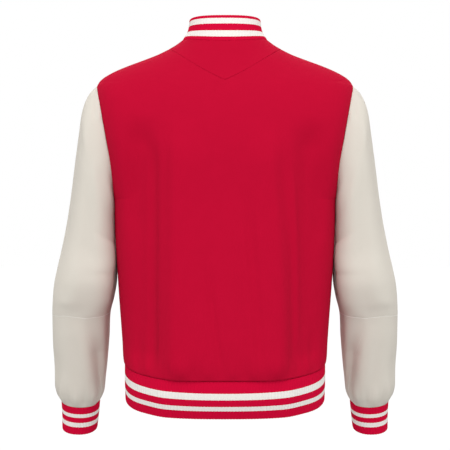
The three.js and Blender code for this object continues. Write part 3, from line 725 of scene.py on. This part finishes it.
def hem_band():
    past = np.pi + math.atan(OVERLAP / HEM_DEPTH)
    count = round(section_length(hem_surface, HEM_SEAM / 2, -past, past) / RIB_PITCH)
    angle = even_angles(hem_surface, HEM_SEAM / 2, -past, past, 6 * count)[None, :]
    side = fine_at_ends(0, HEM_TOP, 5)[:, None]
    ribs = np.linspace(0, count, 6 * count + 1)[None, :] + 0 * side
    down = 1 - side / HEM_TOP
    stripe = down + HEM_STRIPE_DIP * np.sin(angle) ** 2 * (1 - down) + 0 * angle
    angle, side = np.broadcast_arrays(angle, side)
    under = ease((-angle - np.pi + math.radians(20)) / math.radians(12))
    point = hem_surface(angle, side)
    form = creases_at(BACK_FORM, (), point[..., 0], side) * (np.cos(angle) > 0)
    sink = under * (RIB_CLOTH + 1.3) - form
    return knit_band("knit_hem", hem_surface, angle, side, ribs, stripe, sink=sink)


def collar_band():
    def end(side):
        """The angle at which the collar ends at a section. Its top corners are rounded."""
        corner = COLLAR_CORNER * ease((side - COLLAR_HIGH + COLLAR_CORNER_RUN) / COLLAR_CORNER_RUN)
        return np.pi - (COLLAR_GAP + corner) / COLLAR_DEPTH

    widest = float(end(COLLAR_LOW))
    middle = (COLLAR_LOW + COLLAR_HIGH) / 2
    count = round(section_length(collar_surface, middle, -widest, widest) / RIB_PITCH)
    even = even_angles(collar_surface, middle, -widest, widest, 6 * count)[None, :]
    side = fine_at_ends(COLLAR_LOW, COLLAR_HIGH, 3)[:, None]
    angle = even * end(side) / widest
    side = np.broadcast_to(side, angle.shape)
    ribs = np.linspace(0, count, 6 * count + 1)[None, :] + 0 * side
    stripe = (side - COLLAR_LOW) / (COLLAR_HIGH - COLLAR_LOW)
    return knit_band("knit_collar", collar_surface, angle, side, ribs, stripe)


def cuff(name, mirror):
    count = round(2 * math.pi * CUFF_RADIUS / RIB_PITCH)
    turn = np.linspace(0, 2 * np.pi, 8 * count, endpoint=False)[None, :]
    along = fine_at_ends(0, CUFF_LENGTH, 3.6)[:, None]
    turn, along = np.broadcast_arrays(turn, along)
    ribs = turn / (2 * np.pi) * count
    stripe = along / CUFF_LENGTH
    return knit_band(name, cuff_surface, turn, along, ribs, stripe, mirror=mirror, closed=True)


# Sleeves
def sleeve_points(angle, along):
    normal = outward_normals(sleeve_surface, angle, along)
    return sleeve_surface(angle, along) + normal * sleeve_folds_at(angle, along)[..., None], normal


def sleeve_part(name, mirror, start, end, step):
    angle = np.linspace(0, 2 * np.pi, SLEEVE_COLUMNS, endpoint=False)[None, :]
    along = fine_at_ends(start, end, step)[:, None]
    angle, along = np.broadcast_arrays(angle, along)
    point, normal = sleeve_points(angle, along)
    turned = roll(point, ("low", "high"), *EDGE_ROLL)
    return plain_cloth(name, point, normal, turned, closed=True, mirror=mirror)


# Seams
def thread_mesh(name, paths, radius, sides=6):
    """Thin round threads or welts along paths of points, joined in one mesh. A path may close on itself."""
    points = []
    faces = []
    for path, normals, closed in paths:
        ahead = np.roll(path, -1, axis=0) - np.roll(path, 1, axis=0)
        if not closed:
            ahead[0] = path[1] - path[0]
            ahead[-1] = path[-1] - path[-2]
        ahead = unit(ahead)
        beside = unit(np.cross(ahead, normals))
        above = np.cross(beside, ahead)
        start = len(points)
        thin = np.ones(len(path))
        if not closed:
            thin[[0, -1]] = 0.45
        for i, p in enumerate(path):
            for k in range(sides):
                a = 2 * math.pi * k / sides
                points.append(p + radius * thin[i] * (math.cos(a) * beside[i] + math.sin(a) * above[i]))
        count = len(path)
        for i in range(count if closed else count - 1):
            for k in range(sides):
                ring = start + i * sides
                after = start + (i + 1) % count * sides
                m = (k + 1) % sides
                faces.append([ring + k, ring + m, after + m, after + k])
        if not closed:
            faces.append([start + k for k in reversed(range(sides))])
            faces.append([start + (count - 1) * sides + k for k in range(sides)])
    mesh = bpy.data.meshes.new(name)
    mesh.from_pydata(in_frame(np.array(points)).tolist(), [], faces)
    mesh.polygons.foreach_set("use_smooth", np.ones(len(mesh.polygons), bool))
    piece = new_object(name, mesh)
    bpy.ops.object.select_all(action="DESELECT")
    piece.select_set(True)
    bpy.context.view_layer.objects.active = piece
    bpy.ops.object.mode_set(mode="EDIT")
    bpy.ops.mesh.select_all(action="SELECT")
    bpy.ops.mesh.normals_make_consistent(inside=False)
    bpy.ops.object.mode_set(mode="OBJECT")
    return piece


def elbow_welt(name, mirror):
    """The edge that shows in the seam at the elbow, made paler than the sleeve cloth as a painted highlight
    along the seam.
    """
    angle = np.linspace(0, 2 * np.pi, 160, endpoint=False)
    along = np.full(angle.shape, ELBOW_SEAM + SEAM_GAP / 2)
    point, normal = sleeve_points(angle, along)
    path = mirrored(point - 0.35 * normal, mirror)
    return thread_mesh(name, [(path, mirrored(normal, mirror), True)], ELBOW_WELT)


def forearm_welt(name, mirror):
    """The long seam of the lower sleeve, from the point of the elbow seam to the cuff. It is paler than the
    sleeve cloth, a painted highlight, and almost wholly sunk in the cloth along its upper half.
    """
    t = np.linspace(0, 1, 70)
    along = mix(ELBOW_SEAM + 3, WRIST_SEAM - 2.5, t)
    angle = np.radians(ELBOW_KINK + 62 * ease(t) ** 0.9)
    point, normal = sleeve_points(angle, along)
    lift = mix(-0.42, 0.02, ease((t - 0.55) / 0.3))[:, None]
    path = mirrored(point + lift * normal, mirror)
    return thread_mesh(name, [(path, mirrored(normal, mirror), False)], FOREARM_WELT)


def stitches(name, surface_points, lengths, pitch=3.4, long=2.5, radius=0.28):
    """A row of stitches. surface_points gives points and normals for shares 0 to 1 of its line."""
    count = int(lengths / pitch)
    paths = []
    for i in range(count):
        t = (i + np.linspace(0, long / pitch, 5)) / count
        point, normal = surface_points(t)
        lift = 0.16 * np.sin(np.pi * np.linspace(0, 1, 5))
        paths.append((point + normal * (lift[:, None] - 0.02), normal, False))
    return thread_mesh(name, paths, radius, sides=5)


def placket_line(t):
    """A line down the left front, 28 mm from its edge."""
    side = mix(HEM_SEAM + 5, NECK_SEAM - 4, t)
    angle = np.pi - np.arctan(PLACKET_IN / BODY["front"](side))
    point, normal = placed(body_surface, angle, side)
    out = creases_at(LEFT_FRONT_CREASES, FRONT_GATHERS, point[..., 0], side)
    return point + normal * out[..., None], normal


# Snaps, in metres. A cap's rings go from its rim to its middle: how far each is set in, and how far it rises.
SNAP_RADIUS = 0.0075
SNAP_BASE = 0.0014
SNAP_RINGS = (
    (0.0007, 0.0003), (0.0005, -0.0004), (0.0004, 0.0), (0.0006, 0.0009),
    (0.0012, 0.0005), (0.0014, 0.0002), (0.0013, 0.0001),
)
SNAP_HEIGHTS = (567, 474, 381, 288, 195, 102)
SNAP_LIFT = 0.35
HEM_SNAP_SIDE = 34
HEM_SNAP_LIFT = 1.15


def pick_top(piece):
    """Selects the highest level face of the piece that is being edited."""
    grid = bmesh.from_edit_mesh(piece.data)
    grid.faces.ensure_lookup_table()

    def height_then_middle(face):
        middle = face.calc_center_median()
        return round(middle.z, 6), -middle.length

    top = max((f for f in grid.faces if f.normal.z > 0.9), key=height_then_middle)
    for face in grid.faces:
        face.select_set(face == top)
    bmesh.update_edit_mesh(piece.data)


def snap_cap():
    """A domed cap with a raised rim, standing on +Z from its flat underside."""
    bpy.ops.object.select_all(action="DESELECT")
    middle = (0, 0, SNAP_BASE / 2)
    bpy.ops.mesh.primitive_cylinder_add(vertices=48, radius=SNAP_RADIUS, depth=SNAP_BASE, location=middle)
    cap = bpy.context.object
    bpy.ops.object.transform_apply(location=True, rotation=True, scale=True)
    bpy.ops.object.mode_set(mode="EDIT")
    bpy.ops.mesh.select_mode(type="FACE")
    pick_top(cap)
    for inset, rise in SNAP_RINGS:
        bpy.ops.mesh.inset(thickness=inset, depth=0)
        bpy.ops.transform.translate(value=(0, 0, rise))
    bpy.ops.object.mode_set(mode="OBJECT")
    rounding = cap.modifiers.new("rounded edges", "BEVEL")
    rounding.width = 0.00022
    rounding.segments = 2
    rounding.limit_method = "ANGLE"
    rounding.angle_limit = math.radians(30)
    bpy.ops.object.modifier_apply(modifier=rounding.name)
    bpy.ops.object.shade_smooth_by_angle(angle=math.radians(40))
    return cap


def section_at_front(up):
    """The section that lies at a height on the centre front."""
    side = np.linspace(HEM_SEAM, NECK_SEAM, 4000)
    return float(np.interp(up, BODY["front_up"](side), side))


# Materials
RED = (0.475, 0.0030, 0.029)
RED_SHADE = (0.415, 0.0025, 0.024)
RIB_RED = (0.575, 0.0022, 0.035)
RIB_WHITE = (0.80, 0.775, 0.735)
CREAM = (0.645, 0.605, 0.54)
CREAM_SHADE = (0.595, 0.555, 0.49)
# Painted highlight: the seam welts take this colour, paler than the sleeve cloth, for the light along the
# seam ridges
WELT_HIGHLIGHT_WHITE = (0.78, 0.75, 0.70)
ENAMEL = (0.83, 0.82, 0.79)
ENAMEL_SHADE = (0.79, 0.78, 0.74)
# The colour the knit is multiplied towards in the hollows between its loops: painted shade
KNIT_HOLLOW_SHADE = (0.80, 0.79, 0.78)
KNIT_COURSE = 1.5


def set_inputs(node, *pairs):
    for socket, value in pairs:
        node.inputs[socket].default_value = value


def new_finish(name, roughness, sheen=0.0, tint=(1, 1, 1)):
    finish = bpy.data.materials.new(name)
    finish.use_nodes = True
    nodes = finish.node_tree.nodes
    shader = nodes["Principled BSDF"]
    set_inputs(shader, ("Roughness", roughness), ("Specular IOR Level", 0.04), ("Sheen Weight", sheen))
    set_inputs(shader, ("Sheen Roughness", 0.45), ("Sheen Tint", (*tint, 1)))
    return finish, nodes, finish.node_tree.links, shader


def object_place(nodes):
    return nodes.new("ShaderNodeTexCoord").outputs["Object"]


def noise(nodes, links, vector, scale, detail, roughness):
    node = nodes.new("ShaderNodeTexNoise")
    set_inputs(node, ("Scale", scale), ("Detail", detail), ("Roughness", roughness))
    links.new(vector, node.inputs["Vector"])
    return node.outputs["Fac"]


def stretched(nodes, links, vector, scale):
    node = nodes.new("ShaderNodeMapping")
    node.inputs["Scale"].default_value = scale
    links.new(vector, node.inputs["Vector"])
    return node.outputs["Vector"]


def sums(nodes, links, kind, a, b):
    node = nodes.new("ShaderNodeMath")
    node.operation = kind
    for socket, value in zip(node.inputs, (a, b)):
        if isinstance(value, (int, float)):
            socket.default_value = value
        else:
            links.new(value, socket)
    return node.outputs["Value"]


def weighted(nodes, links, a, share_a, b, share_b):
    """The sum of two values, each times its own share."""
    first = sums(nodes, links, "MULTIPLY", a, share_a)
    second = sums(nodes, links, "MULTIPLY", b, share_b)
    return sums(nodes, links, "ADD", first, second)


def smooth_range(nodes, links, value, start, end, low, high):
    """Goes smoothly from low to high as a value goes from start to end."""
    node = nodes.new("ShaderNodeMapRange")
    node.interpolation_type = "SMOOTHSTEP"
    set_inputs(node, ("From Min", start), ("From Max", end), ("To Min", low), ("To Max", high))
    links.new(value, node.inputs["Value"])
    return node


def blend_colours(nodes, links, amount, a, b, kind="MIX"):
    node = nodes.new("ShaderNodeMix")
    node.data_type = "RGBA"
    node.blend_type = kind
    links.new(amount, node.inputs["Factor"])
    for socket, value in ((node.inputs["A"], a), (node.inputs["B"], b)):
        if isinstance(value, tuple):
            socket.default_value = (*value, 1)
        else:
            links.new(value, socket)
    return node.outputs["Result"]


def raised(nodes, links, height, strength, distance, below=None):
    node = nodes.new("ShaderNodeBump")
    set_inputs(node, ("Strength", strength), ("Distance", distance))
    links.new(height, node.inputs["Height"])
    if below is not None:
        links.new(below, node.inputs["Normal"])
    return node.outputs["Normal"]


def wool_finish():
    """Melton wool: a felted face with a short brushed nap and a faint mottle."""
    finish, nodes, links, shader = new_finish("red_melton_wool", 0.9, sheen=0.06, tint=(1, 0.04, 0.12))
    place = object_place(nodes)
    mottle = noise(nodes, links, place, 42, 4, 0.6)
    nap = noise(nodes, links, stretched(nodes, links, place, (1, 1, 0.4)), 700, 5, 0.7)
    amount = weighted(nodes, links, mottle, 0.5, nap, 0.5)
    links.new(blend_colours(nodes, links, amount, RED_SHADE, RED), shader.inputs["Base Color"])
    felt = noise(nodes, links, place, 260, 3, 0.6)
    normal = raised(nodes, links, felt, 0.12, 0.0006)
    links.new(raised(nodes, links, nap, 0.35, 0.0002, normal), shader.inputs["Normal"])
    return finish


def sleeve_finish():
    """Plain sleeve cloth: a close, even weave with a soft matte face."""
    finish, nodes, links, shader = new_finish("cream_sleeve_cloth", 0.72, sheen=0.05, tint=(1, 0.98, 0.94))
    place = object_place(nodes)
    chart = nodes.new("ShaderNodeUVMap")
    chart.uv_map = "cloth"
    threads = []
    for direction in ("X", "Y"):
        wave = nodes.new("ShaderNodeTexWave")
        wave.bands_direction = direction
        set_inputs(wave, ("Scale", 350), ("Distortion", 0.6), ("Detail", 1))
        links.new(chart.outputs["UV"], wave.inputs["Vector"])
        threads.append(wave.outputs["Fac"])
    weave = sums(nodes, links, "MAXIMUM", threads[0], threads[1])
    mottle = noise(nodes, links, place, 36, 4, 0.6)
    slub = noise(nodes, links, place, 520, 3, 0.6)
    amount = weighted(nodes, links, mottle, 0.45, slub, 0.35)
    # Painted shade: the woven threads are a little paler than the gaps between them, where the bump sinks;
    # the mottle and slub vary at random
    amount = sums(nodes, links, "ADD", amount, sums(nodes, links, "MULTIPLY", weave, 0.2))
    links.new(blend_colours(nodes, links, amount, CREAM_SHADE, CREAM), shader.inputs["Base Color"])
    normal = raised(nodes, links, slub, 0.12, 0.0004)
    links.new(raised(nodes, links, weave, 0.3, 0.00015, normal), shader.inputs["Normal"])
    return finish


def knit_finish(name, stripes, length):
    """Rib knit with white stripes. stripes lists the shares of its depth where red and white change over."""
    finish, nodes, links, shader = new_finish(name, 0.85)
    chart = nodes.new("ShaderNodeUVMap")
    chart.uv_map = "knit"
    split = nodes.new("ShaderNodeSeparateXYZ")
    links.new(chart.outputs["UV"], split.inputs["Vector"])
    rib = split.outputs["X"]
    depth = split.outputs["Y"]
    courses = length / KNIT_COURSE
    slant = sums(nodes, links, "PINGPONG", rib, 0.25)
    row = weighted(nodes, links, depth, courses, slant, 2.4)
    loop = sums(nodes, links, "PINGPONG", row, 0.5)
    wobble = sums(nodes, links, "MULTIPLY", sums(nodes, links, "SUBTRACT", slant, 0.125), 0.5 / courses)
    ramp = nodes.new("ShaderNodeValToRGB")
    ramp.color_ramp.interpolation = "CONSTANT"
    places = ramp.color_ramp.elements
    places[0].position = 0
    places[0].color = (*RIB_RED, 1)
    places[1].position = stripes[0]
    places[1].color = (*RIB_WHITE, 1)
    for i, at in enumerate(stripes[1:]):
        mark = places.new(at)
        mark.color = (*(RIB_RED if i % 2 == 0 else RIB_WHITE), 1)
    links.new(sums(nodes, links, "ADD", depth, wobble), ramp.inputs["Fac"])
    place = object_place(nodes)
    fuzz = noise(nodes, links, place, 480, 3, 0.6)
    # Painted shade: the knit is darker in the hollows between its loops, where the bump sinks, and also
    # varies at random with the fuzz
    loop_shade_and_fuzz = weighted(nodes, links, loop, 0.24, fuzz, 0.12)
    amount = sums(nodes, links, "SUBTRACT", 0.26, loop_shade_and_fuzz)
    tone = blend_colours(nodes, links, amount, ramp.outputs["Color"], KNIT_HOLLOW_SHADE, "MULTIPLY")
    links.new(tone, shader.inputs["Base Color"])
    normal = raised(nodes, links, loop, 0.35, 0.0004)
    links.new(raised(nodes, links, fuzz, 0.15, 0.0003, normal), shader.inputs["Normal"])
    return finish


def thread_finish(name, colour):
    finish, nodes, links, shader = new_finish(name, 0.6)
    place = object_place(nodes)
    twist = noise(nodes, links, place, 900, 2, 0.5)
    dark = tuple(0.88 * c for c in colour)
    links.new(blend_colours(nodes, links, twist, dark, colour), shader.inputs["Base Color"])
    links.new(raised(nodes, links, twist, 0.3, 0.0002), shader.inputs["Normal"])
    return finish


def snap_finish():
    """Glossy off-white enamel with a faint orange-peel surface."""
    finish, nodes, links, shader = new_finish("off_white_enamel", 0.28)
    set_inputs(shader, ("Specular IOR Level", 0.5), ("Coat Weight", 0.4))
    place = object_place(nodes)
    peel = noise(nodes, links, place, 380, 3, 0.5)
    links.new(blend_colours(nodes, links, peel, ENAMEL_SHADE, ENAMEL), shader.inputs["Base Color"])
    links.new(raised(nodes, links, peel, 0.05, 0.0003), shader.inputs["Normal"])
    return finish


def dress(piece, finish, slot_name, *nodes):
    """Gives a piece its finish, parents it to the root body and hides the solids that it stands for.
    slot_name is not used.
    """
    piece.data.materials.clear()
    piece.data.materials.append(finish)
    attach(piece, "root")
    if nodes:
        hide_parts(*nodes)
    return piece


wool = wool_finish()
sleeve_cloth = sleeve_finish()
hem_knit = knit_finish("hem_rib_knit", (0.311, 0.484, 0.657, 0.775), 66)
collar_knit = knit_finish("collar_rib_knit", (0.135, 0.353, 0.626, 0.87), 48)
cuff_knit = knit_finish("cuff_rib_knit", (0.25, 0.385, 0.572, 0.73), 54)
# The welts' thread is paler than the sleeve cloth: a painted highlight on the seams
pale_thread = thread_finish("pale_thread", WELT_HIGHLIGHT_WHITE)
red_thread = thread_finish("red_thread", RIB_RED)
enamel = snap_finish()

# Pieces
back = dress(back_panel(), wool, "body_cloth", "back")
yoke = dress(yoke_panel(), wool, "body_cloth", "back_yoke")
left_cloth = front_panel("cloth_front_left", 1, LEFT_FRONT_CREASES)
left_front = dress(left_cloth, wool, "body_cloth", "front_left")
right_cloth = front_panel("cloth_front_right", -1, RIGHT_FRONT_CREASES)
right_front = dress(right_cloth, wool, "body_cloth", "front_right")
hem = dress(hem_band(), hem_knit, "rib_knit", "hem_band")
collar = dress(collar_band(), collar_knit, "rib_knit", "collar")
for hand, mirror in (("left", 1), ("right", -1)):
    upper = sleeve_part(f"cloth_upper_sleeve_{hand}", mirror, 0, ELBOW_SEAM, 5)
    dress(upper, sleeve_cloth, "sleeve_cloth", f"upper_sleeve_{hand}")
    lower = sleeve_part(f"cloth_lower_sleeve_{hand}", mirror, ELBOW_SEAM + SEAM_GAP, WRIST_SEAM, 4)
    dress(lower, sleeve_cloth, "sleeve_cloth", f"lower_sleeve_{hand}")
    band = dress(cuff(f"knit_cuff_{hand}", mirror), cuff_knit, "rib_knit", f"cuff_{hand}")
    dress(elbow_welt(f"elbow_welt_{hand}", mirror), pale_thread, "sleeve_cloth")
    dress(forearm_welt(f"forearm_welt_{hand}", mirror), pale_thread, "sleeve_cloth")
dress(stitches("placket_stitches", placket_line, 600), red_thread, "body_cloth")

cap = snap_cap()
places = []
for i, up in enumerate(SNAP_HEIGHTS):
    places.append((f"snap_{i + 1}", body_surface, section_at_front(up), SNAP_LIFT))
places.append(("snap_hem", hem_surface, HEM_SNAP_SIDE, HEM_SNAP_LIFT))
for node, surface, side, lift in places:
    point = surface(np.pi, side)
    normal = outward_normals(surface, np.float64(np.pi), np.float64(side))
    seat = in_frame(point + normal * lift)
    piece = new_object(f"{node}_cap", cap.data.copy())
    turn = Vector((0, 0, 1)).rotation_difference(Vector(normal)).to_matrix().to_4x4()
    turn.translation = Vector(seat)
    piece.data.transform(turn)
    dress(piece, enamel, "snap_caps", node)
bpy.data.objects.remove(cap)

# Floor, far below, with a painted glow that grows further out, and soft studio light
FLOOR_DROP = 1.45
FLOOR_SHADE = 0.34
FLOOR_CAMERA_GLOW = 0.24
SUN_SPREAD = 50
bpy.ops.object.select_all(action="DESELECT")
bpy.ops.mesh.primitive_plane_add(size=40, location=(0, 0, -FLOOR_DROP))
floor = bpy.context.object
floor.name = "floor"
floor_finish, nodes, links, shader = new_finish("pale_floor", 0.9)
floor_colour = (FLOOR_SHADE, FLOOR_SHADE, FLOOR_SHADE, 1)
set_inputs(shader, ("Base Color", floor_colour), ("Emission Strength", 1.0))
reach = nodes.new("ShaderNodeVectorMath")
reach.operation = "LENGTH"
links.new(object_place(nodes), reach.inputs[0])
glow = smooth_range(nodes, links, reach.outputs["Value"], 1.6, 2.6, 0.0, 0.56)
links.new(glow.outputs["Result"], shader.inputs["Emission Color"])
# Painted glow: the camera sees the floor paler than the light that the floor returns to the jacket
camera_ray = nodes.new("ShaderNodeLightPath").outputs["Is Camera Ray"]
links.new(sums(nodes, links, "MULTIPLY", camera_ray, FLOOR_CAMERA_GLOW), glow.inputs["To Min"])
floor.data.materials.append(floor_finish)

# The studio is white at eye level and dimmer overhead
world = bpy.data.worlds.new("studio")
bpy.context.scene.world = world
world.use_nodes = True
nodes = world.node_tree.nodes
links = world.node_tree.links
height = nodes.new("ShaderNodeSeparateXYZ")
links.new(nodes.new("ShaderNodeTexCoord").outputs["Generated"], height.inputs["Vector"])
dimming = smooth_range(nodes, links, height.outputs["Z"], 0.29, 0.5, 1.0, 0.3)
links.new(dimming.outputs["Result"], nodes["Background"].inputs["Color"])
bpy.context.scene.view_settings.view_transform = "Standard"


def soft_sun(name, elevation, azimuth, strength):
    """A broad, even light. Azimuth 0 lights the jacket's back, and 180 its front."""
    lamp = bpy.data.lights.new(name, "SUN")
    lamp.energy = strength
    lamp.angle = math.radians(SUN_SPREAD)
    new_object(name, lamp).rotation_euler = (math.radians(elevation - 90), 0, math.radians(azimuth))


soft_sun("back_key", 50, 0, 2.33)
soft_sun("front_key", 50, 180, 1.5)
